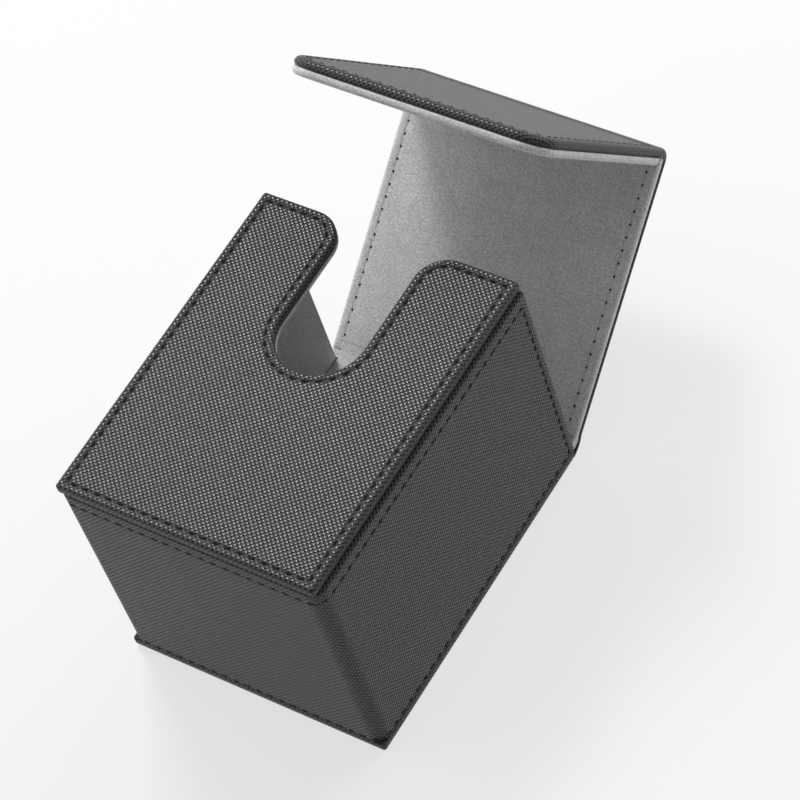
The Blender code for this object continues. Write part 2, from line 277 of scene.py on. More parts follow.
def new_finish(name, roughness, **numbers):
    """A material with a Principled shader; numbers go straight onto its sockets."""
    made = bpy.data.materials.new(name)
    made.use_nodes = True
    tree = made.node_tree
    shader = tree.nodes["Principled BSDF"]
    shader.inputs["Roughness"].default_value = roughness
    for socket, value in numbers.items():
        shader.inputs[socket.replace("_", " ")].default_value = value
    return made, tree, shader


def grey_mix(tree, factor, low, high):
    """A grey between two levels, by factor."""
    mix = add_node(tree, "ShaderNodeMix", {0: factor}, data_type="RGBA")
    mix.inputs[6].default_value = (low, low, low, 1.0)
    mix.inputs[7].default_value = (high, high, high, 1.0)
    return mix.outputs[2]


def bumped(tree, shader, height, distance, strength=1.0):
    bump = add_node(tree, "ShaderNodeBump", {"Height": height, "Distance": distance, "Strength": strength})
    tree.links.new(bump.outputs[0], shader.inputs["Normal"])


def group_node(tree, group, vector, **values):
    made = add_node(tree, "ShaderNodeGroup", node_tree=group)
    tree.links.new(vector, made.inputs["Vector"])
    for label, value in values.items():
        made.inputs[label].default_value = value
    return made


def make_leatherette():
    """Dark grey with lighter, glossier dots; round edges the colour is darkened as painted shade, pressed
    places are darker, and both are smoother.
    """
    made, tree, shader = new_finish("woven_leatherette", 0.5, Specular_IOR_Level=0.5, Sheen_Weight=0.2,
                                    Sheen_Roughness=0.3)
    place = tree.nodes.new("ShaderNodeTexCoord")
    weave = group_node(tree, weave_group, place.outputs["UV"])
    drift = group_node(tree, drift_group, place.outputs["Object"], Size=35.0)
    edge = add_node(tree, "ShaderNodeAttribute", attribute_name="edge").outputs["Fac"]
    press = add_node(tree, "ShaderNodeAttribute", attribute_name="press").outputs["Fac"]
    flat = maths(tree, "MULTIPLY", edge, 0.12)
    pulled = maths(tree, "MULTIPLY", press, 0.4)
    kept = maths(tree, "SUBTRACT", maths(tree, "SUBTRACT", 1.0, flat), pulled, clamp=True)
    dots = maths(tree, "MULTIPLY", weave.outputs["Dots"], kept)
    slow = maths(tree, "MULTIPLY", drift.outputs[0], 0.05)
    lit = maths(tree, "ADD", maths(tree, "MULTIPLY", dots, 0.7), slow)
    # Painted shade: round rolled edges the colour is darkened; along the stitch rows it is darker too.
    edge_shade_and_stitch_dark = maths(tree, "ADD", maths(tree, "MULTIPLY", press, 0.1), maths(tree, "MULTIPLY", edge, 0.15))
    lit = maths(tree, "SUBTRACT", maths(tree, "ADD", lit, 0.2), edge_shade_and_stitch_dark, clamp=True)
    colour = grey_mix(tree, lit, 0.004, 0.04)
    tree.links.new(colour, shader.inputs["Base Color"])
    gloss = maths(tree, "MULTIPLY_ADD", dots, -0.44, 0.7)
    tree.links.new(gloss, shader.inputs["Roughness"])
    grain = noise(tree, place.outputs["UV"], 6.0, 2.0)
    relief = maths(tree, "ADD", maths(tree, "MULTIPLY", weave.outputs["Height"], kept),
                   maths(tree, "MULTIPLY", grain.outputs[0], 0.12))
    bumped(tree, shader, relief, 0.00036)
    return made


# %% [markdown]
# The other finishes are simpler. Suede scatters light and has next to no gloss; thread is twisted
# from strands, so it has slanted ridges; greyboard is pressed pulp; the magnets are plated steel;
# the separator is matt black plastic. Each has some variation, because an even colour looks false.

# %% Suede, thread, board, magnet and plastic


def make_suede():
    """Mid grey; the fibres make the grain and the relief, the strokes a faint cloudiness."""
    made, tree, shader = new_finish("grey_suede", 0.95, Specular_IOR_Level=0.15, Sheen_Weight=0.25,
                                    Sheen_Roughness=0.6)
    place = tree.nodes.new("ShaderNodeTexCoord")
    nap = group_node(tree, nap_group, place.outputs["Object"])
    press = add_node(tree, "ShaderNodeAttribute", attribute_name="press").outputs["Fac"]
    fibres = maths(tree, "MULTIPLY", nap.outputs["Fibres"], 0.85)
    tone = maths(tree, "ADD", fibres, maths(tree, "MULTIPLY", nap.outputs["Strokes"], 0.15))
    spread = add_node(tree, "ShaderNodeMapRange", {"Value": tone, "From Min": 0.4, "From Max": 0.6})
    tone = maths(tree, "SUBTRACT", spread.outputs[0], maths(tree, "MULTIPLY", press, 0.35), clamp=True)
    tree.links.new(grey_mix(tree, tone, 0.38, 0.66), shader.inputs["Base Color"])
    bumped(tree, shader, nap.outputs["Fibres"], 0.0002, 0.8)
    return made


def make_thread():
    """Twisted strands: diagonal ridges across the thread, in its own UV map."""
    made, tree, shader = new_finish("black_thread", 0.8, Specular_IOR_Level=0.12)
    place = tree.nodes.new("ShaderNodeTexCoord")
    strands = add_node(tree, "ShaderNodeTexWave", {"Vector": place.outputs["UV"], "Scale": 1.2},
                       bands_direction="DIAGONAL")
    tree.links.new(grey_mix(tree, strands.outputs["Fac"], 0.004, 0.016), shader.inputs["Base Color"])
    bumped(tree, shader, strands.outputs["Fac"], 0.00008)
    return made


def make_magnet():
    """Plated metal, a little duller in places."""
    made, tree, shader = new_finish("magnet", 0.3, Metallic=1.0)
    place = tree.nodes.new("ShaderNodeTexCoord")
    plated = group_node(tree, drift_group, place.outputs["Object"], Size=400.0)
    tree.links.new(grey_mix(tree, plated.outputs[0], 0.5, 0.65), shader.inputs["Base Color"])
    gloss = maths(tree, "MULTIPLY_ADD", plated.outputs[0], 0.15, 0.25)
    tree.links.new(gloss, shader.inputs["Roughness"])
    return made


def make_grainy(name, roughness, scale, detail, low, high, depth, **numbers):
    """A plain finish: one fine noise gives both its mottling and its relief."""
    made, tree, shader = new_finish(name, roughness, **numbers)
    place = tree.nodes.new("ShaderNodeTexCoord")
    grain = noise(tree, place.outputs["Object"], scale, detail)
    tree.links.new(grey_mix(tree, grain.outputs[0], low, high), shader.inputs["Base Color"])
    bumped(tree, shader, grain.outputs[0], depth)
    return made


leatherette, suede, thread = make_leatherette(), make_suede(), make_thread()
greyboard = make_grainy("greyboard", 0.9, 900.0, 6.0, 0.2, 0.36, 0.0001)
magnet = make_magnet()
plastic = make_grainy("black_plastic", 0.45, 2500.0, 3.0, 0.006, 0.014, 0.00006, Specular_IOR_Level=0.4)
FINISHES = {"woven_leatherette": leatherette, "grey_suede": suede, "black_thread": thread,
            "greyboard": greyboard, "magnet": magnet, "black_plastic": plastic}
print("finishes", sorted(FINISHES))

# %% [markdown]
# ## One way to make every wrapped panel
# A wrapped board is an outline swept through a rounded profile: ring after ring of the same outline,
# each drawn in by an inset and set at a height. Straight sides, rolled edges, the channel under the
# stitches and the turned-in hem are all just rows of that profile. The two ends are closed by caps.

# %% Outlines and profiles


def arc(x, y, radius, start, end, steps=6):
    """Points on a circle: centre plus radius times (cos, sin) of angles from start to end, in degrees."""
    a = np.radians(np.linspace(start, end, steps + 1))
    return np.stack([x + radius * np.cos(a), y + radius * np.sin(a)], 1)


def rounded_rectangle(x0, x1, y0, y1, radii, steps=6):
    """An anticlockwise rectangle with four corner radii, from the low corner round."""
    a, b, c, d = np.maximum(radii, 0.03)
    return np.concatenate([
        arc(x0 + a, y0 + a, a, 180, 270, steps), arc(x1 - b, y0 + b, b, 270, 360, steps),
        arc(x1 - c, y1 - c, c, 0, 90, steps), arc(x0 + d, y1 - d, d, 90, 180, steps),
    ])


def roll(radius, inset, height, start, end, steps=6):
    """Rows (inset, height) of an edge rolled through angles, about a centre at inset and height."""
    a = np.radians(np.linspace(start, end, steps + 1))
    return np.stack([inset - radius * np.cos(a), height + radius * np.sin(a)], 1)


def run_along(path):
    """The length run so far at each point of a path."""
    return np.concatenate([[0], np.cumsum(np.linalg.norm(np.diff(path, axis=0), axis=1))])


def channel(distance, width=0.4):
    """How far a surface is pulled down near a row of stitches: exp(-(distance / width) squared)."""
    return np.exp(-(distance / width) ** 2)


# %% [markdown]
# The rings become a mesh in one go: numpy numbers all the points, and each face joins a point, its
# neighbour on the ring, and the two above them. Whether the rings run upwards or downwards, the
# volume they enclose tells which way the faces must point.

# %% Mesh from rings
SHARPEST_FOLD = math.radians(42)


def put_mesh(name, points, faces, loop_uv, finish, marks):
    """A mesh object from points in millimetres, faces, one UV for each face corner and vertex numbers."""
    mesh = bpy.data.meshes.new(name)
    mesh.from_pydata((points * MM).tolist(), [], faces)
    mesh.uv_layers.new(name="UVMap").data.foreach_set("uv", loop_uv.astype(np.float32).ravel())
    for mark, values in marks.items():
        attribute = mesh.attributes.new(mark, "FLOAT", "POINT")
        attribute.data.foreach_set("value", values.astype(np.float32).ravel())
    mesh.shade_smooth()
    mesh.set_sharp_from_angle(angle=SHARPEST_FOLD)
    mesh.materials.append(finish)
    made = bpy.data.objects.new(name, mesh)
    bpy.context.scene.collection.objects.link(made)
    return made


def turned_inside_out(rings):
    """True where rings around an axis enclose a negative volume: a sum of v0 . (v1 x v2) over its faces."""
    a, b = rings[:-1], rings[1:]
    a2, b2 = np.roll(a, -1, 1), np.roll(b, -1, 1)
    total = np.sum(np.cross(a, a2) * b2) + np.sum(np.cross(a, b2) * b)
    for cap, sign in ((rings[0], -1), (rings[-1], 1)):
        total += sign * np.sum(np.cross(cap, np.roll(cap, -1, 0)) * cap.mean(0))
    return total < 0


def wrap(name, rings, uv, finish, marks):
    """A closed solid through rings (R, N, 3), with UVs (R, N + 1, 2); the first and last are capped."""
    count, around = rings.shape[:2]
    index = np.arange(count * around).reshape(count, around)
    follow = np.roll(index, -1, 1)
    quads = np.stack([index[:-1], follow[:-1], follow[1:], index[1:]], -1).reshape(-1, 4)
    quad_uv = np.stack([uv[:-1, :-1], uv[:-1, 1:], uv[1:, 1:], uv[1:, :-1]], 2).reshape(-1, 4, 2)
    caps = [index[0][::-1], index[-1]]
    cap_uv = [uv[0, :-1][::-1], uv[-1, :-1]]
    if turned_inside_out(rings):
        quads, quad_uv = quads[:, ::-1], quad_uv[:, ::-1]
        caps, cap_uv = [c[::-1] for c in caps], [c[::-1] for c in cap_uv]
    loop_uv = np.concatenate([quad_uv.reshape(-1, 2), *cap_uv])
    faces = quads.tolist() + [c.tolist() for c in caps]
    return put_mesh(name, rings.reshape(-1, 3), faces, loop_uv, finish, marks)


def panel(name, outline, profile, finish, place=place_box, shift=0.0, edge=None, press=None):
    """A wrapped panel. Its UV is the sheet laid flat: the outline drawn in by the length run so far,
    so a rolled edge carries the weave on outwards; shift moves it along the panel."""
    profile = np.asarray(profile, float)
    flat_inset = profile[0, 0] - run_along(profile)
    rings = np.stack([np.column_stack([o := outline(i), np.full(len(o), h)]) for i, h in profile])
    uv = np.stack([outline(i) for i in flat_inset]) + [0.0, shift]
    uv = np.concatenate([uv, uv[:, :1]], 1)
    count = rings.shape[1]
    edge = np.zeros(len(profile)) if edge is None else edge
    press = np.zeros(len(profile)) if press is None else press
    marks = {"edge": np.repeat(edge, count), "press": np.repeat(press, count)}
    return wrap(name, place(rings), uv, finish, marks)


def keep(piece, body, slot, *nodes):
    """The piece rides on a body and stands in for CAD nodes, which are hidden; slot is not used."""
    if body:
        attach(piece, body)
    if nodes:
        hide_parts(*nodes)
    return piece


# %% [markdown]
# ## Front panel
# The front is the panel one looks at: a board with a deep U-shaped thumb notch, covered in one sheet
# that is rolled over the edge and turned in behind. The row of stitches presses a shallow channel
# into it, and the strip outside the stitches swells a little because it holds a double layer.

# %% Front panel
FRONT_STITCH = 2.4
ROLL = 0.75


def front_outline(inset):
    """Straight sides with small corners, two rounded shoulders and a half-circle notch."""
    side, bottom, end = FRONT_SIDE - inset, -HALF_HEIGHT + inset, HALF_HEIGHT - inset
    corner = max(EDGE_RADIUS - inset, 0.03)
    notch, shoulder = NOTCH_RADIUS + inset, SHOULDER_RADIUS - inset
    across, notch_y = notch + shoulder, NOTCH_BOTTOM_Y + NOTCH_RADIUS
    return np.concatenate([
        arc(-side + corner, bottom + corner, corner, 180, 270, 5),
        arc(side - corner, bottom + corner, corner, 270, 360, 5),
        arc(side - corner, end - corner, corner, 0, 90, 5),
        arc(across, end - shoulder, shoulder, 90, 180, 14),
        arc(0, notch_y, notch, 0, -180, 40),
        arc(-across, end - shoulder, shoulder, 0, 90, 14),
        arc(-side + corner, end - corner, corner, 90, 180, 5),
    ])


def face_rows(level, stitch, sign=1.0, radius=ROLL, depth=0.08, swell=0.1):
    """Rows (inset, height) of a sewn face, from the middle out to the start of its roll, and how
    hard the stitches press there. The swell is a half sine between stitches and edge."""
    inset = np.concatenate([[6.0, 4.6], np.linspace(stitch + 1.2, max(stitch - 1.0, radius + 0.15), 18),
                            [radius]])
    pressed = channel(inset - stitch)
    hem = np.clip((stitch - inset) / (stitch - radius), 0, 1)
    height = level + sign * (swell * np.sin(np.pi * hem * 0.5) - depth * pressed - swell)
    return np.stack([inset, height], 1), pressed


def block_rows(face, low, sign, roll_radius=ROLL, hem_radius=0.6, hem=3.4):
    """The rest of a wrapped block's profile: rolled edge, side, and the hem turned in underneath."""
    top = face[-1, 1]
    over = roll(roll_radius, roll_radius, 0, 90, 0, 7)
    under = roll(hem_radius, hem_radius, 0, 0, -90, 4)
    over[:, 1] = top - sign * (roll_radius - over[:, 1])
    under[:, 1] = low + sign * (hem_radius + under[:, 1])
    middle = np.stack([[0.0, 0.0], np.linspace(over[-1, 1], under[0, 1], 4)[1:-1]], 1)
    return np.concatenate([over[1:], middle, under, [[hem, low]]])


def sewn_block(name, outline, level, low, stitch, finish, place=place_box, shift=0.0, radius=ROLL, **rows):
    """A whole sewn block: its face at level, its hem at low."""
    sign = 1.0 if level > low else -1.0
    face, pressed = face_rows(level, stitch, sign, radius, **rows)
    rest = block_rows(face, low, sign, radius)
    profile = np.concatenate([face, rest])
    press = np.concatenate([pressed, np.zeros(len(rest))])
    # In the leatherette, edge darkens the colour over the roll, side and hem: painted shade.
    edge = np.concatenate([np.clip((radius + 0.2 - face[:, 0]) / 0.8, 0, 1), np.ones(len(rest))])
    return panel(name, outline, profile, finish, place, shift, edge, press)


front_cover = sewn_block("front_cover_wrap", front_outline, DEPTH, FRONT_LOW_Z - 0.02, FRONT_STITCH,
                         leatherette)
keep(front_cover, "box", "woven_leatherette", "front_cover")
print("front panel", len(front_cover.data.polygons), "faces")

# %% [markdown]
# Behind the front panel lies its suede lining. It reaches the notch's edge, so a strip of grey shows
# below the dark cover all round the notch. It is the same outline as the front's, clipped to the
# width between the walls, so the two can't drift apart when the notch is changed.

# %% Front lining
LINING_LOW, LINING_HIGH = 74.6, 76.1


def front_lining_outline(inset):
    """The front's outline again, but only as wide as the well, and a hair inside the notch's edge."""
    points = front_outline(inset + 0.12)
    side, bottom = BODY_SIDE - LINING_DEPTH - inset, -HALF_HEIGHT + LINING_DEPTH + inset
    points[:, 0] = np.clip(points[:, 0], -side, side)
    points[:, 1] = np.maximum(points[:, 1], bottom)
    return points


soft = np.concatenate([
    [[5.0, LINING_LOW], [1.0, LINING_LOW]], roll(0.5, 0.5, LINING_LOW + 0.5, -90, 0, 5),
    [[0, LINING_HIGH - 0.4]], roll(0.3, 0.3, LINING_HIGH - 0.3, 0, 90, 3), [[2.0, LINING_HIGH]],
])
front_lining = panel("front_lining_sheet", front_lining_outline, soft, suede)
keep(front_lining, "box", "grey_suede", "front_lining")
print("front lining", round(LINING_HIGH - LINING_LOW, 2), "mm thick")

# %% [markdown]
# ## Walls
# One sheet covers the left wall, the bottom and the right wall: a U-shaped band. Its outline is the
# band seen from the front, and the profile carries it from the back's seam up to the groove under
# the front panel. The rows of stitches make one closed frame on the unrolled sheet, so the pull of
# the thread is worked out from the distance to that frame.

# %% Walls
HEM_DROP = 4.0
RIM_HEM = 2.6
SEAM_RISE_STITCH = 0.9
SEAM_Z = WALL_LOW_Z + SEAM_RISE_STITCH
HEM_Z = WALL_TOP_Z - HEM_DROP
RIM_STITCH_Y = RIM_Y - RIM_HEM
RIM_ROWS = 13
PULL = 0.12
WALL_ROLL = 0.9


def band(inset, outer, inner, end, outer_radius, inner_radius, end_radius):
    """A U-shaped band round three walls, between two depths from the body's outer face: the left
    rim, down the left wall, the bottom, up the right wall, its rim, and back along the inside.
    Close rows of points stand either side of the rims' stitches."""
    side, low, top = BODY_SIDE - outer - inset, -HALF_HEIGHT + outer + inset, end - inset
    inside, floor = BODY_SIDE - inner + inset, -HALF_HEIGHT + inner - inset
    big, small, tip = max(outer_radius - inset, 0.3), inner_radius + inset, max(end_radius - inset, 0.03)
    near = RIM_STITCH_Y + np.linspace(1.2, -1.2, RIM_ROWS)
    left = np.stack([np.full(RIM_ROWS, -side), near], 1)
    right = np.stack([np.full(RIM_ROWS, side), near[::-1]], 1)
    return np.concatenate([
        arc(-inside - tip, top - tip, tip, 0, 90, 5), arc(-side + tip, top - tip, tip, 90, 180, 5),
        left, arc(-side + big, low + big, big, 180, 270, 12),
        arc(side - big, low + big, big, 270, 360, 12), right,
        arc(side - tip, top - tip, tip, 0, 90, 5), arc(inside + tip, top - tip, tip, 90, 180, 5),
        arc(inside - small, floor + small, small, 0, -90, 6),
        arc(-inside + small, floor + small, small, -90, -180, 6),
    ])


def walls():
    """Rings from the seam to the front groove, pressed in where they near the frame of stitches."""
    def outline(inset):
        return band(inset, 0.0, WALL_DEPTH, RIM_Y, BODY_CORNER_RADIUS, inner_radius=1.4, end_radius=0.8)

    base = outline(0)
    along = run_along(np.concatenate([base, base[:1]]))
    rows = np.concatenate([
        [[1.2, WALL_LOW_Z - 0.15]], roll(0.35, 0.35, WALL_LOW_Z + 0.2, -90, 0, 4),
        [[0, z] for z in SEAM_Z + np.linspace(-0.5, 1.4, 12)],
        [[0, z] for z in np.linspace(8, HEM_Z - 2.0, 12)],
        [[0, z] for z in HEM_Z + np.linspace(-1.2, 1.2, 13)],
        roll(WALL_ROLL, WALL_ROLL, WALL_TOP_Z - WALL_ROLL, 0, 90, 7), [[1.3, WALL_TOP_Z]],
    ])
    rings = np.stack([np.column_stack([o := outline(i), np.full(len(o), h)]) for i, h in rows])
    outward = outline(-1.0) - base
    x, y, z = rings[..., 0], rings[..., 1], rings[..., 2]
    outer_face = (np.abs(base[:, 0]) > BODY_SIDE - 0.1) | (base[:, 1] < -HALF_HEIGHT + 1.6)
    outer_face &= np.hypot(*outward.T) < 1.5
    beside = np.where(base[:, 1] < RIM_STITCH_Y + 1.3, 0.0, 99.0)
    to_row = np.minimum(np.abs(z - SEAM_Z), np.abs(z - HEM_Z)) + beside
    between = (z > SEAM_Z - 0.01) & (z < HEM_Z + 0.01)
    to_rim = np.where(between, np.abs(y - RIM_STITCH_Y), 99.0)
    inside_frame = y <= RIM_STITCH_Y + 0.01
    pressed = np.maximum(channel(to_row) * inside_frame, channel(to_rim)) * outer_face
    rings[..., :2] -= outward * (PULL * pressed)[..., None]
    uv = np.stack(np.broadcast_arrays(along[None, :], run_along(rows)[:, None]), -1)
    # In the leatherette, edge darkens the colour at the rims and at the top by the groove: painted shade.
    rim = np.clip((base[:, 1] - RIM_Y + 1.2) / 1.0, 0, 1)
    top = np.clip((rows[:, 1] - WALL_TOP_Z + 1.3) / 1.0, 0, 1)
    edge = np.maximum(rim[None, :], top[:, None])
    return wrap("body_cover_wrap", rings, uv, leatherette, {"edge": edge, "press": pressed})


body_cover = keep(walls(), "box", "woven_leatherette", "body_cover")
print("walls", len(body_cover.data.polygons), "faces")

# %% [markdown]
# The walls' lining is the same U, thinner and inside the first. It ends just short of the rims, so
# that the leatherette is seen to be turned in over them.

# %% Wall lining


def lining_band(inset):
    return band(inset, WALL_DEPTH, LINING_DEPTH, RIM_Y - 0.25, outer_radius=1.5, inner_radius=1.0,
                end_radius=0.3)


soft = np.concatenate([[[0.0, WALL_LOW_Z]], [[0.0, 40.0]], [[0.0, WALL_TOP_Z - 0.4]],
                       roll(0.3, 0.3, WALL_TOP_Z - 0.3, 0, 90, 4)])
body_lining = panel("body_lining_sheet", lining_band, soft, suede)
keep(body_lining, "box", "grey_suede", "body_lining")
print("wall lining", round(LINING_DEPTH - WALL_DEPTH, 2), "mm thick")

# %% [markdown]
# ## Back
# The box lies on its back, a wrapped panel whose edge shows as a strip below the lowest seam. Its
# lower edge is well rounded, because thick cloth can't be folded sharply round a board. On the side
# of the hinge it isn't, since the same sheet runs on there, under the hinge and into the lid.

# %% Back
WIDE_ROLL = 1.8
HINGE_CORNER = 1.6
BACK_LINING_LOW, BACK_LINING_HIGH = 3.75, 4.55


def tight_corner(inset):
    """A panel's small corner radius, once its outline is drawn in by an inset."""
    return max(EDGE_RADIUS - inset, 0.05)


def back_outline(inset):
    corner = tight_corner(inset)
    side = BODY_SIDE - inset
    return rounded_rectangle(-side, side, -HALF_HEIGHT + inset, RIM_Y - 0.02 * inset,
                             [corner, corner, HINGE_CORNER, HINGE_CORNER])


rows = np.concatenate([[[6.0, 0.0], [3.0, 0.0]], roll(WIDE_ROLL, WIDE_ROLL, WIDE_ROLL, -90, 0, 9),
                       roll(0.4, 0.4, BACK_EDGE - 0.4, 0, 90, 4), [[3.0, BACK_EDGE]]])
# In the leatherette, edge darkens the colour round the rolled lower edge: painted shade.
edge = np.clip((1.5 - rows[:, 0]) / 1.2, 0, 1)
back_cover = panel("back_cover_wrap", back_outline, rows, leatherette, edge=edge * 0.6)
keep(back_cover, "box", "woven_leatherette", "back_cover")


def back_lining_outline(inset):
    side = BODY_SIDE - LINING_DEPTH - 0.1 - inset
    low = -HALF_HEIGHT + LINING_DEPTH + 0.1 + inset
    return rounded_rectangle(-side, side, low, RIM_Y - 0.3 - inset, [0.6] * 4, 4)


soft = np.concatenate([
    [[2.0, BACK_LINING_LOW]], [[0.0, BACK_LINING_LOW]],
    roll(0.35, 0.35, BACK_LINING_HIGH - 0.35, 0, 90, 4), [[3.0, BACK_LINING_HIGH]],
])
back_lining = panel("back_lining_sheet", back_lining_outline, soft, suede)
keep(back_lining, "box", "grey_suede", "back_lining")
print("back", span("back_cover"))

# %% [markdown]
# ## Lid panels
# Each lid panel is two boards back to back: an outer one wrapped in leatherette and an inner one
# wrapped in suede. Both are sewn together, and from the side the seam between them is a dark line.
# The shifts carry the weave on without a break from the back over the hinge and the fold.

# %% Lid panels
LID_STITCH = 3.0
HINGE_RUN = 6.42
FOLD_RUN = 8.0
STRIP_OVERLAP = 0.9
SEAM_GAP = 0.12
LID_ROLL = 1.7
SUEDE_ROLL = 1.2
SUEDE_PULL = 0.07


def top_outline(inset):
    corner = tight_corner(inset)
    side = LID_SIDE - inset
    return rounded_rectangle(-side, side, TOP_START + inset, TOP_END - inset, [corner] * 4)


def flap_outline(inset):
    corner = tight_corner(inset)
    free = FREE_CORNER_RADIUS - inset
    side = LID_SIDE - inset
    return rounded_rectangle(-side, side, FLAP_START + inset, FLAP_END - inset,
                             [corner, corner, free, free], 14)


hinge_shift = RIM_Y - STRIP_OVERLAP + HINGE_RUN - (TOP_START + STRIP_OVERLAP)
fold_shift = hinge_shift + TOP_END - STRIP_OVERLAP + FOLD_RUN - (FLAP_START + STRIP_OVERLAP)
for part, outline, place, outer, inner, shift in (
    ("top", top_outline, place_top, TOP_OUTER, TOP_INNER, hinge_shift),
    ("flap", flap_outline, place_flap, FLAP_OUTER, FLAP_INNER, fold_shift),
):
    seam = outer + SEAM_RISE
    cover = sewn_block(f"{part}_cover_wrap", outline, outer, seam - SEAM_GAP, LID_STITCH, leatherette,
                       place, shift, LID_ROLL)
    keep(cover, f"lid_{part}", "woven_leatherette", f"{part}_cover")
    lining = sewn_block(f"{part}_lining_wrap", outline, inner, seam + SEAM_GAP, LID_STITCH, suede,
                        place, 0.0, SUEDE_ROLL, depth=SUEDE_PULL)
    keep(lining, f"lid_{part}", "grey_suede", f"{part}_lining")
print("lid panels", round(LID_THICKNESS, 2), "mm thick")

# %% [markdown]
# ## Living hinges
# Nothing is cut at the hinge or the fold: the cover and the lining simply bend there. Each bending
# piece is a strip with its section drawn across the hinge and carried along the width; it is fixed
# in place and rides on no body.

# %% Bending strips


def along_normals(path):
    """Unit normals of a path (N, 2): the tangent turned a quarter turn to the left."""
    tangent = np.gradient(path, axis=0)
    tangent /= np.linalg.norm(tangent, axis=1, keepdims=True)
    return np.stack([-tangent[:, 1], tangent[:, 0]], 1)


def curve_between(start, start_angle, end, end_angle, pull, steps=22):
    """A cubic curve: its ends leave along the given angles, pulled out by a length."""
    a0, a1 = math.radians(start_angle), math.radians(end_angle)
    p0, p3 = np.array(start, float), np.array(end, float)
    p1 = p0 + pull * np.array([math.cos(a0), math.sin(a0)])
    p2 = p3 - pull * np.array([math.cos(a1), math.sin(a1)])
    t = np.linspace(0, 1, steps + 1)[:, None]
    return (1 - t) ** 3 * p0 + 3 * (1 - t) ** 2 * t * p1 + 3 * (1 - t) * t ** 2 * p2 + t ** 3 * p3


def strip(name, path, thickness, side, finish, shift=0.0, place=None, radius=0.3):
    """A bending strip: the path is its visible side, thickness goes to the left of it, and the ends
    of the width are rolled. The section lies across the hinge and x runs along it, as far as side,
    which may be one number or one for each point of the path."""
    normal = along_normals(path)
    sides = np.broadcast_to(side, len(path))
    side = sides.max()

    def section(inset):
        outer, inner = path + normal * inset, path + normal * thickness
        return np.concatenate([outer, inner[::-1]])

    rows = np.concatenate([roll(radius, radius, -side + radius, -90, 0, 6), [[0, -side / 3], [0, side / 3]],
                           roll(radius, radius, side - radius, 0, 90, 6)])
    narrowing = np.concatenate([sides, sides[::-1]]) / side
    rings = np.stack([np.column_stack([x * narrowing, section(i)]) for i, x in rows])
    run = run_along(path) + shift
    v = np.concatenate([run, run[::-1], run[:1]])
    uv = np.stack(np.broadcast_arrays(rows[:, 1][:, None], v[None, :]), -1)
    marks = {"edge": np.zeros(rings.shape[:2]), "press": np.zeros(rings.shape[:2])}
    return wrap(name, place(rings) if place else rings, uv, finish, marks)


hinge_start = np.array([RIM_Y - STRIP_OVERLAP, 0.0])
hinge_end = turn(TOP_START + STRIP_OVERLAP, TOP_OUTER, LID_ANGLE, HINGE)
hinge_path = curve_between(hinge_start, 0, hinge_end, LID_DEGREES, 2.2)
hinge_sides = np.linspace(BODY_SIDE - 0.05, LID_SIDE, len(hinge_path))
hinge_cover = strip("hinge_cover_strip", hinge_path, 1.5, hinge_sides, leatherette,
                    RIM_Y - STRIP_OVERLAP, radius=1.4)
keep(hinge_cover, None, "woven_leatherette", "hinge_cover")
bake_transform(hinge_cover)
print("hinge strip runs", run_along(hinge_path)[-1].round(2), "mm")

# %% [markdown]
# Inside, the lining is creased where the back meets the lid. It is narrow between the walls and as
# wide as the lid beyond their rims, so it is made as two strips: a thin one, and a thick one that
# fills the space above the cover and is seen at the lid's sides.

# %% Hinge lining
crease_end = turn(TOP_START + 1.4, TOP_INNER + 0.03, LID_ANGLE, HINGE)
crease_start = [RIM_Y - 1.6, BACK_LINING_HIGH + 0.03]
crease_path = curve_between(crease_start, 0, crease_end, LID_DEGREES, 1.2)[::-1]
hinge_lining = strip("hinge_lining_strip", crease_path, 0.6, BODY_SIDE - LINING_DEPTH - 0.5, suede)
keep(hinge_lining, None, "grey_suede", "hinge_lining")
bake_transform(hinge_lining)

bridge_end = turn(TOP_START + 1.0, TOP_INNER - 0.3, LID_ANGLE, HINGE)
bridge_start = [RIM_Y + 0.05, BACK_LINING_HIGH - 0.1]
bridge_path = curve_between(bridge_start, 0, bridge_end, LID_DEGREES, 0.6, 10)[::-1]
hinge_bridge = strip("hinge_bridge_strip", bridge_path, 3.1, LID_SIDE - 0.3, suede, radius=0.8)
keep(hinge_bridge, None, "grey_suede")
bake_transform(hinge_bridge)
print("hinge lining runs to", crease_end.round(2))

# %% [markdown]
# At the fold the cover goes round the outside of the corner. Its path is the end of the top panel's
# face, an arc, and the start of the flap's face; the arc's centre is found from where those two
# faces would cross.

# %% Fold cover
FOLD_RADIUS = 3.0
corner_s = fold_point(FLAP_START + STRIP_OVERLAP, FLAP_OUTER)
flap_way = np.array([math.cos(FOLD_ANGLE), math.sin(FOLD_ANGLE)])
corner = corner_s + flap_way * (TOP_OUTER - corner_s[1]) / flap_way[1]
reach = FOLD_RADIUS * math.tan(FOLD_ANGLE / 2)
bend_centre = (corner[0] - reach, TOP_OUTER + FOLD_RADIUS)
fold_path = np.concatenate([
    np.stack([np.linspace(TOP_END - STRIP_OVERLAP, bend_centre[0], 3)[:-1], np.full(2, TOP_OUTER)], 1),
    arc(*bend_centre, FOLD_RADIUS, -90, math.degrees(FOLD_ANGLE) - 90, 16),
    np.linspace(corner + flap_way * reach, corner_s, 5)[1:],
])
fold_cover = strip("fold_cover_strip", fold_path, SEAM_RISE - SEAM_GAP, LID_SIDE - 0.05, leatherette,
                   hinge_shift + TOP_END - STRIP_OVERLAP, place_top, LID_ROLL)
keep(fold_cover, None, "woven_leatherette", "fold_cover")
start, end = place_top(np.array([[0, TOP_END - 0.5, TOP_OUTER], [0, *corner_s]])) * MM
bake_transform(fold_cover)
print("fold strip runs", run_along(fold_path)[-1].round(2), "mm")

# %% [markdown]
# The lining has to bridge a gap only when the flap is folded out flat; folded up, the spare cloth
# tucks into the corner. Its path is worked out backwards: each point is put where the fold's turn
# will bring it level with both linings.

# %% Fold lining


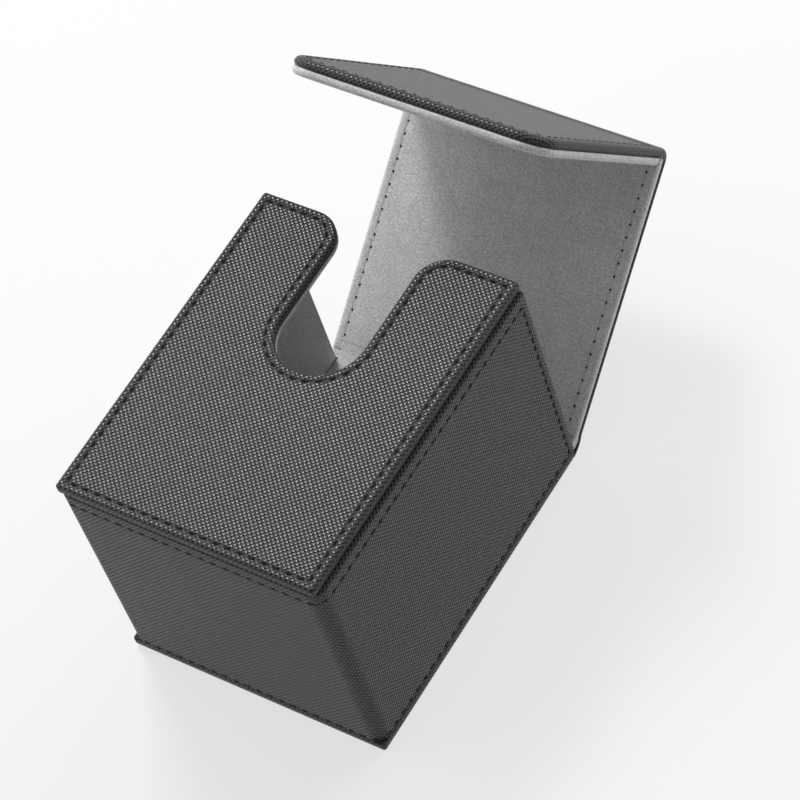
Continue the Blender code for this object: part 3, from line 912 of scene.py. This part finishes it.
def tucked_path(reach, rise, angle, steps=16):
    """A path about the fold that lies flat at height rise once it is unfolded. A point at t follows
    the flap by w = t t (3 - 2 t) of the angle, so it is moved off the line from start to end until
    -x sin(w angle) + y cos(w angle) equals the rise."""
    start, end = np.array([-reach, rise]), turn(reach, rise, angle, (0.0, 0.0))
    across = np.array([end[1] - start[1], start[0] - end[0]])
    t = np.linspace(0, 1, steps)
    turned = angle * t * t * (3 - 2 * t)
    line = start + t[:, None] * (end - start)
    level = line[:, 1] * np.cos(turned) - line[:, 0] * np.sin(turned)
    slope = across[1] * np.cos(turned) - across[0] * np.sin(turned)
    return FOLD + line + ((rise - level) / slope)[:, None] * across


inner_path = tucked_path(5.0, TOP_INNER - FOLD[1], FOLD_ANGLE)
fold_lining = strip("fold_lining_strip", inner_path[::-1], 1.6, LID_SIDE - 0.5, suede, 0.0,
                    place_top, 0.6)
keep(fold_lining, None, "grey_suede")
start, end = place_top(np.stack([[0, *inner_path[0]], [0, *inner_path[-1]]])) * MM
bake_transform(fold_lining)
print("fold lining tucks in to", inner_path[len(inner_path) // 2].round(2))

# %% [markdown]
# ## Stitches
# A stitch is a short tube of thread that dips into the sheet at both ends and grows fatter from one
# to the other. One row is one mesh: the tube's points are worked out for all its stitches at once,
# along a path with the surface's normal beside it.

# %% Stitch rows
STITCH_PITCH = 3.7
STITCH_WIDTH = 1.0
FACE_ROW_DEPTH = 0.24
WALL_ROW_DEPTH = 0.14


def stitches(name, path, normals, length=3.2, width=STITCH_WIDTH, closed=False, lift=0.12):
    """Tubes along a path (N, 3) on a surface with normals (N, 3): centre = path + normal times height,
    where height is a half sine that leans towards the stitch's end, and the radius grows that way."""
    if closed:
        path, normals = np.concatenate([path, path[:1]]), np.concatenate([normals, normals[:1]])
    run = run_along(path)
    count = int(round(run[-1] / STITCH_PITCH))
    pitch = run[-1] / count
    t = np.linspace(0, 1, 7)
    place = (np.arange(count)[:, None] * pitch + (pitch - length) / 2 + t * length)

    def at(values, where):
        return np.stack([np.interp(where, run, values[:, i]) for i in range(3)], -1)

    centre, normal = at(path, place), at(normals, place)
    normal /= np.linalg.norm(normal, axis=-1, keepdims=True)
    tangent = at(path, place + 0.05) - at(path, place - 0.05)
    tangent /= np.linalg.norm(tangent, axis=-1, keepdims=True)
    side = np.cross(normal, tangent)
    radius = width / 2 * (0.35 + 0.65 * t) * np.sqrt(np.clip(1 - (2 * t - 1) ** 6, 0.06, 1))
    height = lift + 0.45 * width * (np.sin(np.pi * t ** 1.5) - 1)
    angle = np.linspace(0, 2 * np.pi, 9)[:-1]
    ring = (side[:, :, None] * np.cos(angle)[None, None, :, None]
            + normal[:, :, None] * (0.8 * np.sin(angle))[None, None, :, None])
    points = (centre + normal * height[None, :, None])[:, :, None] + ring * radius[None, :, None, None]
    index = np.arange(points[..., 0].size).reshape(points.shape[:3])
    follow = np.roll(index, -1, 2)
    quads = np.stack([index[:, :-1], follow[:, :-1], follow[:, 1:], index[:, 1:]], -1)
    ends = [*index[:, 0, ::-1].tolist(), *index[:, -1].tolist()]
    u = np.arange(9) / 8 * width * 3
    uv = np.stack(np.broadcast_arrays(u[None, None, :], place[:, :, None]), -1)
    quad_uv = np.stack([uv[:, :-1, :-1], uv[:, :-1, 1:], uv[:, 1:, 1:], uv[:, 1:, :-1]], 3).reshape(-1, 2)
    cap_uv = np.concatenate([uv[:, 0, :-1][:, ::-1].reshape(-1, 2), uv[:, -1, :-1].reshape(-1, 2)])
    faces = quads.reshape(-1, 4).tolist() + ends
    made = put_mesh(name, points.reshape(-1, 3), faces, np.concatenate([quad_uv, cap_uv]), thread, {})
    print(name, count, "stitches at", round(pitch, 2), "mm")
    return made


def lay(outline, height, up):
    """A flat outline as a path at a height, with every normal pointing up or down."""
    return (np.column_stack([outline, np.full(len(outline), height)]),
            np.tile([0.0, 0.0, up], (len(outline), 1)))


def spread_out(points, step=0.4):
    """The same path with points close enough together to bend a stitch round a corner."""
    run = run_along(points)
    where = np.linspace(0, run[-1], int(run[-1] / step) + 1)
    return np.stack([np.interp(where, run, points[:, i]) for i in range(points.shape[1])], 1)


row = spread_out(front_outline(FRONT_STITCH)[np.r_[0:len(front_outline(0)), 0]])
front_stitching = stitches("front_stitching_row", *lay(row, DEPTH - FACE_ROW_DEPTH, 1.0))
keep(front_stitching, "box", "black_thread", "front_stitching")

# %% [markdown]
# The walls' row is one closed loop: along the seam, up the right rim, back along the hem and down
# the left rim. Round the two lower corners the outward direction turns with the wall, so each point
# of the path carries its own.

# %% Body stitches


def wall_path(depth):
    """The outer face's U from rim to rim at a depth, and the unit normals that point out of it."""
    side, low, radius = BODY_SIDE - depth, -HALF_HEIGHT + depth, BODY_CORNER_RADIUS - depth
    return spread_out(np.concatenate([
        [[-side, RIM_STITCH_Y]], arc(-side + radius, low + radius, radius, 180, 270, 12),
        arc(side - radius, low + radius, radius, 270, 360, 12), [[side, RIM_STITCH_Y]],
    ]))


u_path = wall_path(WALL_ROW_DEPTH)
u_normal = -along_normals(u_path)
u_normal = np.column_stack([u_normal, np.zeros(len(u_path))])


def u_row(z):
    return np.column_stack([u_path, np.full(len(u_path), z)])


rise = np.linspace(SEAM_Z, HEM_Z, 120)
right_riser = np.column_stack([np.tile([BODY_SIDE - WALL_ROW_DEPTH, RIM_STITCH_Y], (len(rise), 1)), rise])
left_riser = (right_riser * [-1, 1, 1])[::-1]
loop = np.concatenate([u_row(SEAM_Z), right_riser[1:-1], u_row(HEM_Z)[::-1], left_riser[1:-1]])
to_right = np.tile([1.0, 0, 0], (len(rise) - 2, 1))
loop_normal = np.concatenate([u_normal, to_right, u_normal[::-1], -to_right])
body_stitching = stitches("body_stitching_row", loop, loop_normal, closed=True, length=3.3, width=0.75)
keep(body_stitching, "box", "black_thread", "body_stitching")

# %% [markdown]
# A lid panel is sewn right through, so the same row shows on both faces. In the suede the thread
# sinks into the pile and only a short bit of each stitch is seen.

# %% Lid stitches


def lid_rows(name, body, outer, place, path):
    """The same row on a lid panel's wrapped face and on its lined face. Each row has the name of the
    CAD node it stands for."""
    for label, level, up, length, width in (
        ("outer", outer, -1.0, 3.0, 0.9), ("inner", outer + LID_THICKNESS, 1.0, 1.2, 0.8),
    ):
        points, normals = lay(spread_out(path), level - up * FACE_ROW_DEPTH, up)
        tips, points = place(points + normals), place(points)
        made = stitches(f"{name}_{label}", points, tips - points, length=length, width=width)
        keep(made, body, "black_thread", f"{name}_{label}")


line = LID_SIDE - LID_STITCH
for side_name, x in (("left", -line), ("right", line)):
    column = np.array([[x, TOP_START + 3.0], [x, TOP_END - 3.4]])
    lid_rows(f"top_stitching_{side_name}", "lid_top", TOP_OUTER, place_top, column)
radius = FREE_CORNER_RADIUS - LID_STITCH
far = FLAP_END - LID_STITCH
flap_path = np.concatenate([
    [[line, FLAP_START + 1.0]], arc(line - radius, far - radius, radius, 0, 90, 12),
    arc(-line + radius, far - radius, radius, 90, 180, 12), [[-line, FLAP_START + 1.0]],
])
lid_rows("flap_stitching", "lid_flap", FLAP_OUTER, place_flap, flap_path)

# %% [markdown]
# ## Separator
# The separator is a thin black card with three notched corners. Its edge is die cut and only just
# rounded, so the same ring-by-ring way works with a very flat profile.

# %% Separator
sep_low, sep_high = span("separator_board")
NOTCH = 8.0
CARD_CORNER = 2.4


def separator_outline(inset):
    """A rectangle with three corners cut out; r rounds its outer corners and q the inner ones."""
    left, low, right, high = (*(sep_low[:2] + inset), *(sep_high[:2] - inset))
    r, q = CARD_CORNER - inset, CARD_CORNER + inset
    edge_x, edge_y, far_x = right - NOTCH, high - NOTCH, left + NOTCH
    return np.concatenate([
        arc(left + r, low + r, r, 180, 270), arc(edge_x - r, low + r, r, 270, 360),
        arc(edge_x + q, low + NOTCH - q, q, 180, 90), arc(right - r, low + NOTCH + r, r, 270, 360),
        arc(right - r, edge_y - r, r, 0, 90), arc(edge_x + q, edge_y + q, q, 270, 180),
        arc(edge_x - r, high - r, r, 0, 90), arc(far_x + r, high - r, r, 90, 180),
        arc(far_x - q, edge_y + q, q, 360, 270), arc(left + r, edge_y - r, r, 90, 180),
    ])


rows = np.concatenate([
    [[3.0, sep_low[2]], [0.4, sep_low[2]]], roll(0.15, 0.15, sep_low[2] + 0.15, -90, 0, 3),
    roll(0.15, 0.15, sep_high[2] - 0.15, 0, 90, 3), [[0.4, sep_high[2]], [3.0, sep_high[2]]],
])
separator = panel("separator_card", separator_outline, rows, plastic)
keep(separator, "separator", "black_plastic", "separator_board")
print("separator", (sep_high - sep_low).round(2), "mm")

# %% [markdown]
# The boards and magnets are seen only if the box is taken apart. Their CAD shapes are already right,
# so only their material slots are filled.

# %% Hidden parts
for part in frame["record"]["subparts"]:
    node = frame["nodes"][part["node"]]
    node.data.materials.clear()
    node.data.materials.append(FINISHES[part["material_slot"]])

# %% [markdown]
# ## Stage
# The key light stands where the front panel mirrors it into the camera, so that the dots sparkle.
# The wide lights on the left and behind fill the lid, and a dim white sky fills the rest. The floor
# glows a little, as a lit white table does, which keeps the shadows pale. The camera stands well
# back with a long lens, so the box's edges stay nearly parallel, and it is rolled a little.

# %% Floor, light and camera
BOX_MIDDLE = [0, 0.03, 0.04]


def stage_floor(size=6.0):
    mesh = bpy.data.meshes.new("floor")
    corners = np.array([[-1, -1, 0], [1, -1, 0], [1, 1, 0], [-1, 1, 0]]) * size
    mesh.from_pydata(corners.tolist(), [], [[0, 1, 2, 3]])
    made, tree, shader = new_finish("pale_floor", 0.9, Specular_IOR_Level=0.1, Emission_Strength=0.68)
    shader.inputs["Base Color"].default_value = (0.2, 0.2, 0.2, 1.0)
    shader.inputs["Emission Color"].default_value = (1.0, 1.0, 1.0, 1.0)
    mesh.materials.append(made)
    floor = bpy.data.objects.new("floor", mesh)
    bpy.context.scene.collection.objects.link(floor)


def looking_back(place, way):
    """The matrix of a lamp or camera at a place that looks against the direction way."""
    return Matrix.Translation(place) @ Vector(way).to_track_quat("Z", "Y").to_matrix().to_4x4()


def soft_light(name, toward, distance, size, power):
    """A square light at a distance from the box in a direction, facing it."""
    lamp = bpy.data.lights.new(name, "AREA")
    lamp.shape, lamp.size, lamp.energy = "SQUARE", size, power
    made = bpy.data.objects.new(name, lamp)
    way = np.array(toward, float) / np.linalg.norm(toward)
    made.matrix_world = looking_back((way * distance + BOX_MIDDLE).tolist(), way.tolist())
    bpy.context.scene.collection.objects.link(made)


stage_floor()
soft_light("key", (-0.456, 0.404, 0.793), 1.6, 0.45, 17.5)
soft_light("overhead", (-0.2, 0.2, 0.9), 1.8, 2.4, 3.0)
soft_light("left", (-1.0, 0.1, 0.6), 1.8, 2.2, 26.0)
soft_light("front_left", (-0.6, -0.9, 0.45), 1.8, 1.2, 4.5)
soft_light("back", (0.3, 1.0, 0.6), 1.8, 1.2, 24.0)
world = bpy.data.worlds.new("studio")
bpy.context.scene.world = world
world.use_nodes = True
world.node_tree.nodes["Background"].inputs[0].default_value = (1, 1, 1, 1)
world.node_tree.nodes["Background"].inputs[1].default_value = 0.12
bpy.context.scene.view_settings.view_transform = "Standard"

LENS = 166.68
CAMERA_PLACE = (0.45634, -0.37041, 0.82000)
CAMERA_AIM = (0.0136, 0.02189, 0.05)
CAMERA_ROLL = math.radians(-20.984)
camera = bpy.data.objects.new("camera", bpy.data.cameras.new("camera"))
camera.data.lens = LENS
camera.data.sensor_width = 36.0
camera.data.clip_end = 20.0
camera.matrix_world = (looking_back(CAMERA_PLACE, Vector(CAMERA_PLACE) - Vector(CAMERA_AIM))
                       @ Matrix.Rotation(CAMERA_ROLL, 4, "Z"))
bpy.context.scene.collection.objects.link(camera)
bpy.context.scene.camera = camera
print("camera at", CAMERA_PLACE, "lens", LENS)
